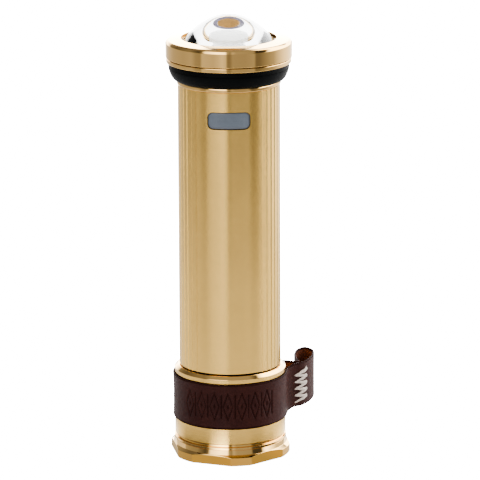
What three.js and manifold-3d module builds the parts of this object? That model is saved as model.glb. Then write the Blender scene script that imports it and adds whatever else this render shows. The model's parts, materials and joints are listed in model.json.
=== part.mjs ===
// Brass pocket flashlight with a bull's-eye lens and a leather strap.
// Millimetres, +Z up along the barrel, origin at the centre of the flat tail face.
// The push button faces -Y and the strap's loop points towards +X and +Y.
// Threads are plain cylinders with running clearance.

import * as THREE from 'three';
import { mergeVertices } from 'three/addons/utils/BufferGeometryUtils.js';
import Module from 'manifold-3d';

const wasm = await Module();
wasm.setup();

// ---- Driving dimensions ----
const OUTER_SIDES = 40;
const INNER_SIDES = 28;
const SMALL_SIDES = 12;
const GAP = 0.15;

// Barrel
const TUBE_R = 17.5;
const TUBE_BORE_R = 14.2;
const TUBE_BOTTOM = 31.7;
const TUBE_TOP = 130.1;
const RIM_R = 17.75;
const RIM_TOP = 131.5;
const TAIL_SPIGOT_R = 16.3;
const TAIL_SPIGOT_BOTTOM = 22;
const HEAD_SOCKET_R = 15.7;
const HEAD_SOCKET_BOTTOM = 124.7;
const SMOOTH_HALF_ANGLE = 40;
const FLUTE_COUNT = 40;
const FLUTE_WIDTH = 0.55;
const FLUTE_DEPTH = 0.35;

// Push button
const BUTTON_Z = 120.4;
const SLOT_WIDTH = 14.5;
const SLOT_HEIGHT = 6.0;
const SLOT_CORNER = 1.9;
const BUTTON_FACE_R = 17.3;
const BUTTON_BACK_R = 13.1;
const BUTTON_LIP_R = 13.95;

// Tail
const COLLAR_R = 19.18;
const COLLAR_BOTTOM = 7.3;
const COLLAR_BEVEL = 30.3;
const COLLAR_TOP = 31.4;
const STRAP_SEAT_R = 18.75;
const CAP_BORE_R = 15.85;
const CAP_PLUG_R = 15.6;
const CAP_PLUG_TOP = 15.5;
const CAP_HOLLOW_R = 12.6;
const CAP_FLOOR = 3.2;
const NECK_R = 18.85;
const FLANGE_R = 20.85;
const FLANGE_BAND = 2.45;
const FLANGE_RIM_R = 19.65;
const WRENCH_FLATS = 6;
const WRENCH_FLAT_DISTANCE = 19.7;
const WRENCH_FLAT_ANGLE = -19.5;

// Strap
const STRAP_BOTTOM = 13.0;
const STRAP_TOP = 28.7;
const STRAP_R = 19.28;
const STRAP_HALF_THICKNESS = 0.38;
const STITCH_R = 0.35;

// Cells
const CELL_R = 13.1;
const CELL_LENGTH = 48.5;
const CELL_PITCH = 50.1;
const CELL_START = 15.8;

// Head
const SPIGOT_R = 15.5;
const SPIGOT_BORE_R = 13.25;
const HEAD_NECK_R = 17.0;
const LIP_R = 21.35;
const LIP_BOTTOM = 137.65;
const LIP_TOP = 139.15;
const BEZEL_THREAD_R = 19.1;
const HEAD_TOP = 143.1;
const BEZEL_R = 21.55;
const BEZEL_BOTTOM = 139.35;
const BEZEL_TOP = 145.3;
const BEZEL_BORE_R = 19.3;
const BEZEL_OPENING_R = 16.2;
const LENS_BOTTOM = 143.6;
const LENS_FLANGE_TOP = 144.25;
const DOME_BASE_R = 15.2;
const DOME_BASE = 144.9;
const DOME_TOP = 153.85;

const radians = (degrees) => THREE.MathUtils.degToRad(degrees);

// ---- Materials ----
function metal(color, roughness) {
  return new THREE.MeshStandardMaterial({ color, roughness, metalness: 1.0 });
}

function dull(color, roughness = 0.7) {
  return new THREE.MeshStandardMaterial({ color, roughness, metalness: 0.0 });
}

const BRUSHED_BRASS = metal(0xc9a86e, 0.4);
const POLISHED_BRASS = metal(0xdcbb7c, 0.15);
const STEEL = metal(0xb8b8ba, 0.3);
const REFLECTOR_FACE = metal(0xf4f4f4, 0.1);
const BLACK_RUBBER = dull(0x0f0f12, 0.6);
const GREY_BUTTON = dull(0x757c86, 0.45);
const LEATHER = dull(0x39211b, 0.6);
const THREAD = dull(0xc8b9af, 0.8);
const CELL_WRAP = dull(0x2d3f5c, 0.4);
const BOARD = dull(0x1f4a30, 0.5);
const BLACK_PLASTIC = dull(0x1b1b1d, 0.5);
const WHITE_CERAMIC = dull(0xe9e9e4, 0.5);
const PHOSPHOR = dull(0xd9a94a, 0.6);
const LED_RESIN = dull(0x8d8796, 0.5);
const CLEAR = new THREE.MeshStandardMaterial({
  color: 0xffffff, roughness: 0.02, metalness: 0.0, transparent: true, opacity: 0.35,
});

// ---- Solids ----
// Turns a closed three.js geometry into a solid, with its faces pointing out.
function solid(geometry) {
  geometry.deleteAttribute('normal');
  geometry.deleteAttribute('uv');
  const merged = mergeVertices(geometry, 1e-4);
  const vertices = new Float32Array(merged.attributes.position.array);
  const index = merged.index.array;
  const triangles = [];
  let volume = 0;
  for (let i = 0; i < index.length; i += 3) {
    const [a, b, c] = [index[i], index[i + 1], index[i + 2]];
    if (a === b || b === c || c === a) continue;
    triangles.push(a, b, c);
    const [pa, pb, pc] = [a, b, c].map((n) => new THREE.Vector3().fromArray(vertices, n * 3));
    volume += pa.dot(pb.cross(pc));
  }
  if (volume < 0) triangles.reverse();
  const triVerts = new Uint32Array(triangles);
  return new wasm.Manifold(new wasm.Mesh({ numProp: 3, vertProperties: vertices, triVerts }));
}

// Turns a profile of [radius, height] points around the Z axis.
// The profile starts and ends on the axis, or is closed back to its first point.
function turned(profile, sides = OUTER_SIDES) {
  const points = profile.map(([r, z]) => new THREE.Vector2(r, z));
  const onAxis = profile[0][0] === 0;
  if (!onAxis) points.push(points[0].clone());
  const geometry = new THREE.LatheGeometry(points, sides);
  geometry.rotateX(Math.PI / 2);
  return solid(geometry);
}

function disc(radius, bottom, top, sides = INNER_SIDES) {
  return turned([[0, bottom], [radius, bottom], [radius, top], [0, top]], sides);
}

function ring(inner, outer, bottom, top, sides = INNER_SIDES) {
  return turned([[inner, bottom], [outer, bottom], [outer, top], [inner, top]], sides);
}

function toroid(radius, height, wire, sides = INNER_SIDES) {
  const corners = 6;
  const profile = [];
  for (let i = 0; i < corners; i += 1) {
    const turn = (i / corners) * 2 * Math.PI;
    profile.push([radius + wire * Math.cos(turn), height + wire * Math.sin(turn)]);
  }
  return turned(profile, sides);
}

function block(x, y, z, centre) {
  return solid(new THREE.BoxGeometry(x, y, z)).translate(centre);
}

// A flat shape in the XY plane, raised from bottom to top.
function raised(shape, bottom, top, curveSegments = 12) {
  const options = { depth: top - bottom, bevelEnabled: false, curveSegments };
  return solid(new THREE.ExtrudeGeometry(shape, options)).translate([0, 0, bottom]);
}

// A rod of round section along a curve, closed at both ends.
function rod(curve, radius, steps, corners = 6) {
  const section = new THREE.Shape();
  for (let i = 0; i < corners; i += 1) {
    const turn = (i / corners) * 2 * Math.PI;
    const point = [radius * Math.cos(turn), radius * Math.sin(turn)];
    if (i === 0) section.moveTo(...point);
    else section.lineTo(...point);
  }
  section.closePath();
  return solid(new THREE.ExtrudeGeometry(section, { steps, extrudePath: curve, bevelEnabled: false }));
}

function roundedRectangle(width, height, corner) {
  const shape = new THREE.Shape();
  const x = width / 2;
  const y = height / 2;
  shape.moveTo(-x + corner, -y);
  shape.lineTo(x - corner, -y);
  shape.absarc(x - corner, -y + corner, corner, -Math.PI / 2, 0);
  shape.lineTo(x, y - corner);
  shape.absarc(x - corner, y - corner, corner, 0, Math.PI / 2);
  shape.lineTo(-x + corner, y);
  shape.absarc(-x + corner, y - corner, corner, Math.PI / 2, Math.PI);
  shape.lineTo(-x, -y + corner);
  shape.absarc(-x + corner, -y + corner, corner, Math.PI, 1.5 * Math.PI);
  return shape;
}

// A rounded rectangle in the XZ plane at the button's height, standing out along -Y.
function frontPlug(width, height, corner, depth) {
  const geometry = new THREE.ExtrudeGeometry(roundedRectangle(width, height, corner), {
    depth, bevelEnabled: false, curveSegments: 4,
  });
  geometry.rotateX(Math.PI / 2);
  geometry.translate(0, 0, BUTTON_Z);
  return solid(geometry);
}

class Coil extends THREE.Curve {
  constructor(bottomRadius, topRadius, bottom, top, turns) {
    super();
    Object.assign(this, { bottomRadius, topRadius, bottom, top, turns });
  }

  getPoint(t, target = new THREE.Vector3()) {
    const radius = THREE.MathUtils.lerp(this.bottomRadius, this.topRadius, t);
    const angle = t * this.turns * 2 * Math.PI;
    const height = THREE.MathUtils.lerp(this.bottom, this.top, t);
    return target.set(radius * Math.cos(angle), radius * Math.sin(angle), height);
  }
}

// ---- Scene graph ----
const flashlight = new THREE.Group();

function add(name, manifold, material) {
  const { vertProperties, triVerts } = manifold.getMesh();
  const geometry = new THREE.BufferGeometry();
  geometry.setAttribute('position', new THREE.BufferAttribute(new Float32Array(vertProperties), 3));
  geometry.setIndex(new THREE.BufferAttribute(new Uint32Array(triVerts), 1));
  geometry.computeVertexNormals();
  const mesh = new THREE.Mesh(geometry, material);
  mesh.name = name;
  flashlight.add(mesh);
}

// ---- Tail cap ----
function tailCap() {
  let cap = turned([
    [0, 0], [20.3, 0], [FLANGE_R, 0.5], [FLANGE_R, FLANGE_BAND], [19.8, 3.0], [FLANGE_RIM_R, 3.2],
    [FLANGE_RIM_R, 4.6], [19.3, 4.8], [19.45, 5.3], [19.3, 5.9], [NECK_R, 6.05], [NECK_R, 7.15],
    [CAP_PLUG_R, 7.15], [CAP_PLUG_R, 8.6], [14.9, 8.6], [14.9, 9.9], [CAP_PLUG_R, 9.9],
    [CAP_PLUG_R, CAP_PLUG_TOP], [CAP_HOLLOW_R, CAP_PLUG_TOP], [CAP_HOLLOW_R, CAP_FLOOR],
    [0, CAP_FLOOR],
  ]);
  const reach = 6;
  for (let i = 0; i < WRENCH_FLATS; i += 1) {
    const turn = WRENCH_FLAT_ANGLE + (360 / WRENCH_FLATS) * i;
    const cutter = block(40, reach, 8, [0, -WRENCH_FLAT_DISTANCE - reach / 2, 0]);
    cap = cap.subtract(cutter.rotate([0, 0, turn]));
  }
  return cap;
}

add('tail_cap', tailCap(), POLISHED_BRASS);
add('tail_cap_oring', toroid(15.4, 9.25, 0.33), BLACK_RUBBER);
add('tail_insulator', disc(12.3, CAP_FLOOR + GAP, 4.1), BLACK_PLASTIC);
add('tail_contact_plate', disc(11.2, 4.25, 4.75), STEEL);
add('tail_contact_rivet', disc(2.2, 4.9, 5.9, SMALL_SIDES), STEEL);
add('tail_spring', rod(new Coil(9.6, 5.2, 5.5, 15.0, 4.5), 0.5, 54, 5), STEEL);

// ---- Tail collar and its seal ----
add('tail_collar', turned([
  [COLLAR_R, COLLAR_BOTTOM], [COLLAR_R, 12.75], [STRAP_SEAT_R, 12.85], [STRAP_SEAT_R, 28.85],
  [COLLAR_R, 28.95], [COLLAR_R, COLLAR_BEVEL], [17.85, COLLAR_TOP], [16.5, COLLAR_TOP],
  [16.5, TAIL_SPIGOT_BOTTOM - 0.2], [CAP_BORE_R, TAIL_SPIGOT_BOTTOM - 0.2],
  [CAP_BORE_R, COLLAR_BOTTOM],
]), BRUSHED_BRASS);
add('collar_gasket', ring(16.45, 17.25, COLLAR_TOP + 0.05, TUBE_BOTTOM - 0.05), BLACK_RUBBER);

// ---- Leather strap: a band round the collar whose ends make a loop ----
const LEAVE_FRONT = radians(-4);
const LEAVE_BACK = radians(53);

const onBand = (angle) => new THREE.Vector2(STRAP_R * Math.cos(angle), STRAP_R * Math.sin(angle));

// A flat ribbon of the strap's thickness, centred on a line of points.
function ribbon(points) {
  const left = [];
  const right = [];
  points.forEach((point, i) => {
    const before = points[Math.max(i - 1, 0)];
    const after = points[Math.min(i + 1, points.length - 1)];
    const along = after.clone().sub(before).normalize().multiplyScalar(STRAP_HALF_THICKNESS);
    left.push(new THREE.Vector2(point.x - along.y, point.y + along.x));
    right.unshift(new THREE.Vector2(point.x + along.y, point.y - along.x));
  });
  return raised(new THREE.Shape([...left, ...right]), STRAP_BOTTOM, STRAP_TOP);
}

function leatherStrap() {
  const bandSteps = 40;
  const sweep = 2 * Math.PI - LEAVE_BACK + LEAVE_FRONT;
  const band = [];
  for (let i = 0; i <= bandSteps; i += 1) {
    band.push(onBand(LEAVE_BACK + (sweep * i) / bandSteps));
  }
  const front = [
    onBand(LEAVE_FRONT), new THREE.Vector2(19.6, 1.2), new THREE.Vector2(20.9, 3.9),
    new THREE.Vector2(23.0, 6.1), new THREE.Vector2(24.6, 7.0),
  ];
  const back = [
    onBand(LEAVE_BACK), new THREE.Vector2(19.5, 9.4), new THREE.Vector2(22.2, 7.5),
    new THREE.Vector2(23.3, 7.3),
  ];
  const loopLine = new THREE.SplineCurve([
    [24.0, 6.9], [25.4, 8.8], [27.2, 13.0], [28.3, 18.0], [28.2, 22.5], [26.0, 25.9], [23.4, 22.8],
    [22.6, 17.5], [22.6, 12.5], [23.0, 9.0], [23.3, 7.2],
  ].map(([x, y]) => new THREE.Vector2(x, y)));
  return ribbon(band)
    .add(ribbon(new THREE.SplineCurve(front).getPoints(10)))
    .add(ribbon(back))
    .add(ribbon(loopLine.getPoints(30)));
}

// Zigzag thread across the seam where the band's two ends meet the loop.
function strapStitches() {
  const legs = 9;
  const rise = 1.35;
  const corner = (i) => {
    const [x, y] = i % 2 === 0 ? [22.1, 3.7] : [25.7, 6.9];
    return new THREE.Vector3(x, y, STRAP_BOTTOM + 1.8 + rise * i);
  };
  let thread = null;
  for (let i = 0; i < legs; i += 1) {
    const leg = rod(new THREE.LineCurve3(corner(i), corner(i + 1)), STITCH_R, 1);
    thread = thread ? thread.add(leg) : leg;
  }
  return thread;
}

add('leather_strap', leatherStrap(), LEATHER);
add('strap_stitches', strapStitches(), THREAD);

// ---- Barrel ----
// Outline of the barrel, with a smooth front and straight flutes round the rest.
function fluteOutline() {
  const spacing = (360 - 2 * SMOOTH_HALF_ANGLE) / (FLUTE_COUNT - 1);
  const halfWidth = THREE.MathUtils.radToDeg(FLUTE_WIDTH / 2 / TUBE_R);
  const points = [];
  const place = (radius, angle) => {
    const turn = radians(angle - 90);
    points.push(new THREE.Vector2(radius * Math.cos(turn), radius * Math.sin(turn)));
  };
  const frontSteps = 9;
  for (let i = 1; i < frontSteps; i += 1) {
    place(TUBE_R, -SMOOTH_HALF_ANGLE + (2 * SMOOTH_HALF_ANGLE * i) / frontSteps);
  }
  for (let i = 0; i < FLUTE_COUNT; i += 1) {
    const centre = SMOOTH_HALF_ANGLE + spacing * i;
    place(TUBE_R, centre - halfWidth);
    place(TUBE_R - FLUTE_DEPTH, centre);
    place(TUBE_R, centre + halfWidth);
  }
  return new THREE.Shape(points);
}

function tube() {
  const slotDepth = 20;
  return raised(fluteOutline(), TUBE_BOTTOM, TUBE_TOP)
    .add(turned([[0, 129.5], [17.2, 129.5], [17.2, 130.1], [RIM_R, 130.25], [RIM_R, RIM_TOP - 0.15],
      [RIM_R - 0.15, RIM_TOP], [0, RIM_TOP]]))
    .add(disc(TAIL_SPIGOT_R, TAIL_SPIGOT_BOTTOM, TUBE_BOTTOM + 1, OUTER_SIDES))
    .subtract(disc(TUBE_BORE_R, TAIL_SPIGOT_BOTTOM - 1, RIM_TOP + 1))
    .subtract(disc(HEAD_SOCKET_R, HEAD_SOCKET_BOTTOM, RIM_TOP + 1))
    .subtract(frontPlug(SLOT_WIDTH, SLOT_HEIGHT, SLOT_CORNER, slotDepth));
}

add('tube', tube(), BRUSHED_BRASS);
add('battery_sleeve', ring(13.35, 13.95, 23, 114.5), BLACK_PLASTIC);

// ---- Cells ----
['lower', 'upper'].forEach((place, i) => {
  const bottom = CELL_START + CELL_PITCH * i;
  const top = bottom + CELL_LENGTH;
  add(`${place}_cell`, turned([
    [0, bottom], [12.6, bottom], [CELL_R, bottom + 0.5], [CELL_R, top - 0.5], [12.6, top], [0, top],
  ], INNER_SIDES), CELL_WRAP);
  add(`${place}_cell_terminal`, disc(3.3, top + GAP / 2, top + 1.45, SMALL_SIDES), STEEL);
});

// ---- Push button and switch ----
function pushButton() {
  const depth = 20;
  const stem = frontPlug(SLOT_WIDTH - 0.3, SLOT_HEIGHT - 0.3, SLOT_CORNER - 0.15, depth)
    .intersect(ring(BUTTON_BACK_R, BUTTON_FACE_R, 110, 130, OUTER_SIDES));
  const lip = frontPlug(18.2, 7.2, 2, depth)
    .intersect(ring(BUTTON_BACK_R, BUTTON_LIP_R, 110, 130, OUTER_SIDES));
  return stem.add(lip);
}

const towardsFront = (manifold) => manifold.rotate([90, 0, 0]);

function switchBody() {
  const hole = towardsFront(disc(1.8, 9.9, 13, SMALL_SIDES)).translate([0, 0, BUTTON_Z]);
  return block(6, 3.2, 6, [0, -10.0, BUTTON_Z]).subtract(hole);
}

function switchCarrier() {
  const cutBack = -6.95;
  return ring(6.2, 13.8, 116.3, 123.9)
    .subtract(block(20, 10, 12, [0, cutBack - 5, BUTTON_Z]));
}

function switchWire(x) {
  return rod(new THREE.CatmullRomCurve3([
    new THREE.Vector3(x, -8.75, 121.0), new THREE.Vector3(x, -9.3, 122.4),
    new THREE.Vector3(x, -9.0, 124.0),
  ]), 0.4, 4);
}

add('push_button', pushButton(), GREY_BUTTON);
add('switch_plunger', towardsFront(disc(1.6, 10.9, 12.9, SMALL_SIDES)).translate([0, 0, BUTTON_Z]),
  WHITE_CERAMIC);
add('switch_body', switchBody(), BLACK_PLASTIC);
add('switch_board', block(14, 1.2, 7.2, [0, -7.7, BUTTON_Z]), BOARD);
add('switch_carrier', switchCarrier(), BLACK_PLASTIC);
add('switch_wire_left', switchWire(-5.6), BLACK_RUBBER);
add('switch_wire_right', switchWire(5.6), BLACK_RUBBER);

// ---- Driver, contact spring and heat sink ----
const DRIVER_TOP = 126.3;

const SCREW_SPACING = 7.6;
const POST_R = 2.7;
const LEAD_X = 3.15;
const screwPlaces = [[0, SCREW_SPACING, 0], [0, -SCREW_SPACING, 0]];

function withScrewHoles(body, radius, bottom, top) {
  return screwPlaces.reduce(
    (left, place) => left.subtract(disc(radius, bottom, top, SMALL_SIDES).translate(place)),
    body,
  );
}

// The heat sink carries the lamp on a post, which reaches into the hollow of the lens.
function heatSink() {
  const body = turned([
    [0, 128.3], [11.8, 128.3], [11.8, 124.95], [13.1, 124.95], [13.1, 131.6],
    [POST_R, 131.6], [POST_R, 146.45], [0, 146.45],
  ], INNER_SIDES);
  return withScrewHoles(body, 1.1, 129, 132);
}

function boardScrew(place) {
  return turned([
    [0, 129.4], [0.9, 129.4], [0.9, 133.4], [1.8, 133.4], [1.8, 134.1], [1.3, 134.4], [0, 134.4],
  ], SMALL_SIDES).translate(place);
}

add('front_contact_spring', rod(new Coil(3.2, 5.0, 116.3, 124.2, 3.5), 0.45, 42, 5), STEEL);
add('driver_board', disc(11.6, 124.95, 126.15), BOARD);
add('driver_inductor', disc(2.6, DRIVER_TOP, 128.0, SMALL_SIDES).translate([4.2, 2.5, 0]), BLACK_PLASTIC);
add('driver_chip', block(4, 4, 1, [-4, 2, DRIVER_TOP + 0.5]), BLACK_PLASTIC);
add('driver_capacitor', block(2, 1.3, 0.9, [0, -5.5, DRIVER_TOP + 0.45]), WHITE_CERAMIC);
add('driver_diode', block(2.6, 1.6, 1.1, [-4.5, -3.4, DRIVER_TOP + 0.55]), BLACK_PLASTIC);
add('driver_retainer', ring(9.6, 12.9, 124.25, 124.8), BRUSHED_BRASS);
add('heat_sink', heatSink(), STEEL);
add('led_board', withScrewHoles(ring(POST_R + GAP, 9.6, 131.75, 133.25), 1.1, 131, 134), WHITE_CERAMIC);
screwPlaces.forEach((place, i) => add(`board_screw_${i + 1}`, boardScrew(place), STEEL));
add('led_lead_left', disc(0.3, 133.35, 146.5, SMALL_SIDES).translate([-LEAD_X, 0, 0]), BLACK_RUBBER);
add('led_lead_right', disc(0.3, 133.35, 146.5, SMALL_SIDES).translate([LEAD_X, 0, 0]), BLACK_RUBBER);
add('led_package', disc(3.5, 146.6, 147.2, INNER_SIDES), WHITE_CERAMIC);
add('led_dam', ring(2.5, 3.45, 147.25, 147.45), LED_RESIN);
add('led_phosphor', disc(2.4, 147.25, 147.4, INNER_SIDES), PHOSPHOR);
add('led_cup', turned([
  [4.9, 133.4], [5.6, 133.4], [5.6, 142.2], [6.85, 143.35], [6.85, 144.6], [5.85, 146.05],
  [3.8, 147.2], [3.65, 147.2], [3.65, 146.3], [5.3, 145.3], [6.1, 144.3], [6.1, 143.7], [4.9, 142.6],
], INNER_SIDES), WHITE_CERAMIC);

// ---- Head ----
add('head_body', turned([
  [SPIGOT_BORE_R, 124.9], [SPIGOT_R, 124.9], [SPIGOT_R, 127.8], [14.55, 127.8], [14.55, 129.1],
  [SPIGOT_R, 129.1], [SPIGOT_R, RIM_TOP + GAP], [HEAD_NECK_R, RIM_TOP + GAP],
  [HEAD_NECK_R, LIP_BOTTOM], [LIP_R, LIP_BOTTOM], [LIP_R, LIP_TOP], [BEZEL_THREAD_R, LIP_TOP],
  [BEZEL_THREAD_R, HEAD_TOP], [16.9, HEAD_TOP], [16.9, 138.4], [14.0, 138.4], [14.0, 131.75],
  [SPIGOT_BORE_R, 131.75],
]), POLISHED_BRASS);
add('head_oring', toroid(15.13, 128.45, 0.38), BLACK_RUBBER);
add('grip_ring', turned([
  [17.15, 131.8], [18.0, 131.8], [18.0, 131.05], [18.6, 131.1], [19.42, 132.3], [20.06, 133.7],
  [20.6, 135.4], [20.6, 137.5], [17.15, 137.5],
]), BLACK_RUBBER);
add('reflector', turned([
  [6.0, 135.1], [7.6, 135.8], [11.0, 137.5], [13.7, 139.7], [15.8, 142.9], [16.75, 142.9],
  [16.75, 142.1], [16.2, 142.1], [14.3, 139.2], [11.4, 136.8], [7.8, 135.3], [6.0, 134.7],
], INNER_SIDES), REFLECTOR_FACE);

// ---- Bezel and lens ----
add('bezel_gasket', toroid(20.0, 139.68, 0.45), BLACK_RUBBER);
add('bezel', turned([
  [BEZEL_BORE_R, 140.4], [20.7, 140.4], [20.7, BEZEL_BOTTOM], [21.4, BEZEL_BOTTOM],
  [BEZEL_R, BEZEL_BOTTOM + 0.2], [BEZEL_R, 144.6], [21.0, BEZEL_TOP], [BEZEL_OPENING_R, BEZEL_TOP],
  [BEZEL_OPENING_R, LENS_FLANGE_TOP + GAP], [BEZEL_BORE_R, LENS_FLANGE_TOP + GAP],
]), POLISHED_BRASS);

// The lens is hollowed underneath, so that the lamp sits close under its crown.
function domeLens() {
  const height = DOME_TOP - DOME_BASE;
  const sphereR = (DOME_BASE_R ** 2 + height ** 2) / (2 * height);
  const halfAngle = Math.asin(DOME_BASE_R / sphereR);
  const steps = 9;
  const profile = [
    [7.1, LENS_BOTTOM], [18.8, LENS_BOTTOM], [18.8, LENS_FLANGE_TOP], [DOME_BASE_R + 0.6, LENS_FLANGE_TOP],
  ];
  for (let i = 0; i < steps; i += 1) {
    const angle = halfAngle * (1 - i / steps);
    profile.push([sphereR * Math.sin(angle), DOME_TOP - sphereR * (1 - Math.cos(angle))]);
  }
  profile.push([0, DOME_TOP], [0, 147.5], [3.6, 147.5], [6.0, 146.15], [7.0, 144.7]);
  return turned(profile, INNER_SIDES);
}

add('dome_lens', domeLens(), CLEAR);
add('lens_gasket', ring(17.2, 18.8, HEAD_TOP + 0.1, LENS_BOTTOM - 0.1), BLACK_RUBBER);

export default flashlight;
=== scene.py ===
"""Looks of the brass pocket flashlight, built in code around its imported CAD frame.

Metres, +Z up along the barrel, with the push button on the -Y side. Profiles and outlines below
are written in millimetres and scaled by MM.
"""

import json
import math

import bmesh
import bpy
from mathutils import Matrix, Vector, noise


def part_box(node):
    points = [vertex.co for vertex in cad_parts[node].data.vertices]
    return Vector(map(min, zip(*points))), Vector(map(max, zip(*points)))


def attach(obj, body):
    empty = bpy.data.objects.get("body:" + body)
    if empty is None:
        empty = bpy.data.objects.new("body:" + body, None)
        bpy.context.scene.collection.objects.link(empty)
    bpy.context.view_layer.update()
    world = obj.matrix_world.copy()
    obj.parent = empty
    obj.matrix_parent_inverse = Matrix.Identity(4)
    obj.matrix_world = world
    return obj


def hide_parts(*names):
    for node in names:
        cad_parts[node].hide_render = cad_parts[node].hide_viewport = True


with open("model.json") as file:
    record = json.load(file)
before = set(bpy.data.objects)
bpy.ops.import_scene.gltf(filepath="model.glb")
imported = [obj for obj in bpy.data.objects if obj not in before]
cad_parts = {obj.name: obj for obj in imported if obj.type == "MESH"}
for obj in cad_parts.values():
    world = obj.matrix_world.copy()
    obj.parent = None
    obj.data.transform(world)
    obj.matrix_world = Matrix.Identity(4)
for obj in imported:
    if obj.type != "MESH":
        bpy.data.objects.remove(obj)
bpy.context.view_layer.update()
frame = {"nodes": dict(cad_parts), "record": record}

MM = 0.001
TAU = 2 * math.pi


def box_mm(node):
    """Lowest and highest corner of a CAD node, in millimetres."""
    low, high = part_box(node)
    return low / MM, high / MM


# ---- Heights, read from the frame (mm) ----
TUBE_LOW, RIM_TOP = (corner.z for corner in box_mm("tube"))
CAP_HIGH = box_mm("tail_cap")[1].z
COLLAR_LOW, COLLAR_HIGH = (corner.z for corner in box_mm("tail_collar"))
STRAP_LOW, STRAP_HIGH = (corner.z for corner in box_mm("leather_strap"))
GRIP_HIGH = box_mm("grip_ring")[1].z
BEZEL_LOW, BEZEL_HIGH = (corner.z for corner in box_mm("bezel"))
LENS_LOW, LENS_HIGH = (corner.z for corner in box_mm("dome_lens"))
BUTTON_Z = sum(corner.z for corner in box_mm("push_button")) / 2

# ---- Sizes of the fine surfaces (mm), and counts ----
TUBE_R = 17.5
TUBE_BOTTOM = 31.7
TUBE_TOP = RIM_TOP - 1.4
RIM_R = 17.75
BORE_R = 14.2
SOCKET_R = 15.7
SOCKET_LOW = 124.7
SPIGOT_R = 16.3
SPIGOT_LOW = TUBE_LOW + 0.2
SMOOTH_HALF_ANGLE = 40.0
FLUTE_COUNT = 40
COLLAR_R = 19.18
STRAP_SEAT_R = 18.75
BAND_R = 19.28
THREAD_TURNS = 3
SLOT_WIDTH, SLOT_HEIGHT, SLOT_CORNER = 14.5, 6.0, 1.9
BUTTON_WIDTH, BUTTON_HEIGHT, BUTTON_CORNER = 14.2, 5.7, 1.75
BUTTON_LIP_WIDTH, BUTTON_LIP_HEIGHT = 18.1, 7.1


# ---- Camera ----
def make_camera():
    """A long lens that looks from in front and a little above."""
    tilt = math.radians(14.3)
    roll = math.radians(-0.22)
    distance = 1.3038
    aim = Vector((0.003577, 0, 0.07493))
    data = bpy.data.cameras.new("camera")
    data.sensor_width = 36
    data.lens = 285
    data.clip_end = 20
    camera = bpy.data.objects.new("camera", data)
    bpy.context.scene.collection.objects.link(camera)
    camera.location = aim + distance * Vector((0, -math.cos(tilt), math.sin(tilt)))
    pitch = Matrix.Rotation(math.pi / 2 - tilt, 4, "X")
    camera.rotation_euler = (pitch @ Matrix.Rotation(roll, 4, "Z")).to_euler()
    bpy.context.scene.camera = camera


# ---- Node graphs ----
class Graph:
    """Builds one material's node tree in a few calls."""

    def __init__(self, tree):
        self.tree = tree
        tree.nodes.clear()

    def node(self, kind, settings=None, **inputs):
        """Adds a node. Inputs are socket names with _ for a space, given a value or a socket."""
        made = self.tree.nodes.new("ShaderNode" + kind)
        for key, value in (settings or {}).items():
            setattr(made, key, value)
        for key, value in inputs.items():
            self.put(made, key.replace("_", " "), value)
        return made

    def put(self, node, key, value):
        socket = node.inputs[int(key)] if key.isdigit() else node.inputs[key]
        if isinstance(value, bpy.types.NodeSocket):
            self.tree.links.new(value, socket)
        else:
            socket.default_value = value

    def maths(self, operation, *values):
        """One step of arithmetic on numbers or sockets."""
        made = self.tree.nodes.new("ShaderNodeMath")
        made.operation = operation
        for i, value in enumerate(values):
            self.put(made, str(i), value)
        return made.outputs[0]

    def ramp(self, factor, stops):
        """A colour ramp through (place, colour) stops."""
        made = self.tree.nodes.new("ShaderNodeValToRGB")
        elements = made.color_ramp.elements
        while len(elements) < len(stops):
            elements.new(0.5)
        for element, (place, color) in zip(elements, stops):
            element.position = place
            element.color = color
        self.put(made, "Fac", factor)
        return made.outputs["Color"]

    def noise(self, vector, scale, detail=3.0, roughness=0.5):
        """Cloudy variation from 0 to 1."""
        made = self.node("TexNoise", Vector=vector, Scale=scale, Detail=detail, Roughness=roughness)
        return made.outputs["Fac"]

    def mix(self, factor, a, b):
        """Mixes two colours."""
        made = self.node("Mix", {"data_type": "RGBA"})
        for key, value in ((0, factor), (6, a), (7, b)):
            self.put(made, str(key), value)
        return made.outputs[2]

    def remap(self, value, low, high):
        """Takes 0..1 to low..high."""
        return self.node("MapRange", Value=value, To_Min=low, To_Max=high).outputs[0]

    def blend(self, factor, a, b):
        """Mixes two shaders."""
        made = self.tree.nodes.new("ShaderNodeMixShader")
        for key, value in (("0", factor), ("1", a), ("2", b)):
            self.put(made, key, value)
        return made.outputs[0]

    def smooth_step(self, value, start, end):
        """Rises softly from 0 to 1 while the value goes from start to end."""
        return self.node("MapRange", {"interpolation_type": "SMOOTHSTEP"}, Value=value, From_Min=start,
                         From_Max=end).outputs[0]

    def turn_angle(self, x, y):
        """Angle round Z in radians, 0 on the -Y side and growing towards +X."""
        return self.maths("ARCTAN2", x, self.maths("MULTIPLY", y, -1.0))

    def bump(self, height, distance, strength=1.0):
        """A normal tilted by a fine relief."""
        return self.node("Bump", Height=height, Distance=distance, Strength=strength).outputs[0]


def grey(value):
    """An even grey as a colour."""
    return (value, value, value, 1)


def start_material(name):
    """A new material and the graph that fills it."""
    material = bpy.data.materials.new(name)
    material.use_nodes = True
    return material, Graph(material.node_tree)


def finish_material(material, graph, **shader):
    """Ends a graph with one surface shader, given its sockets by name."""
    surface = graph.node("BsdfPrincipled", **shader)
    output = graph.node("OutputMaterial")
    graph.tree.links.new(surface.outputs[0], output.inputs[0])
    return material


def object_vector(graph):
    """Coordinates that stay with the piece."""
    return graph.node("TexCoord").outputs["Object"]


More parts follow.
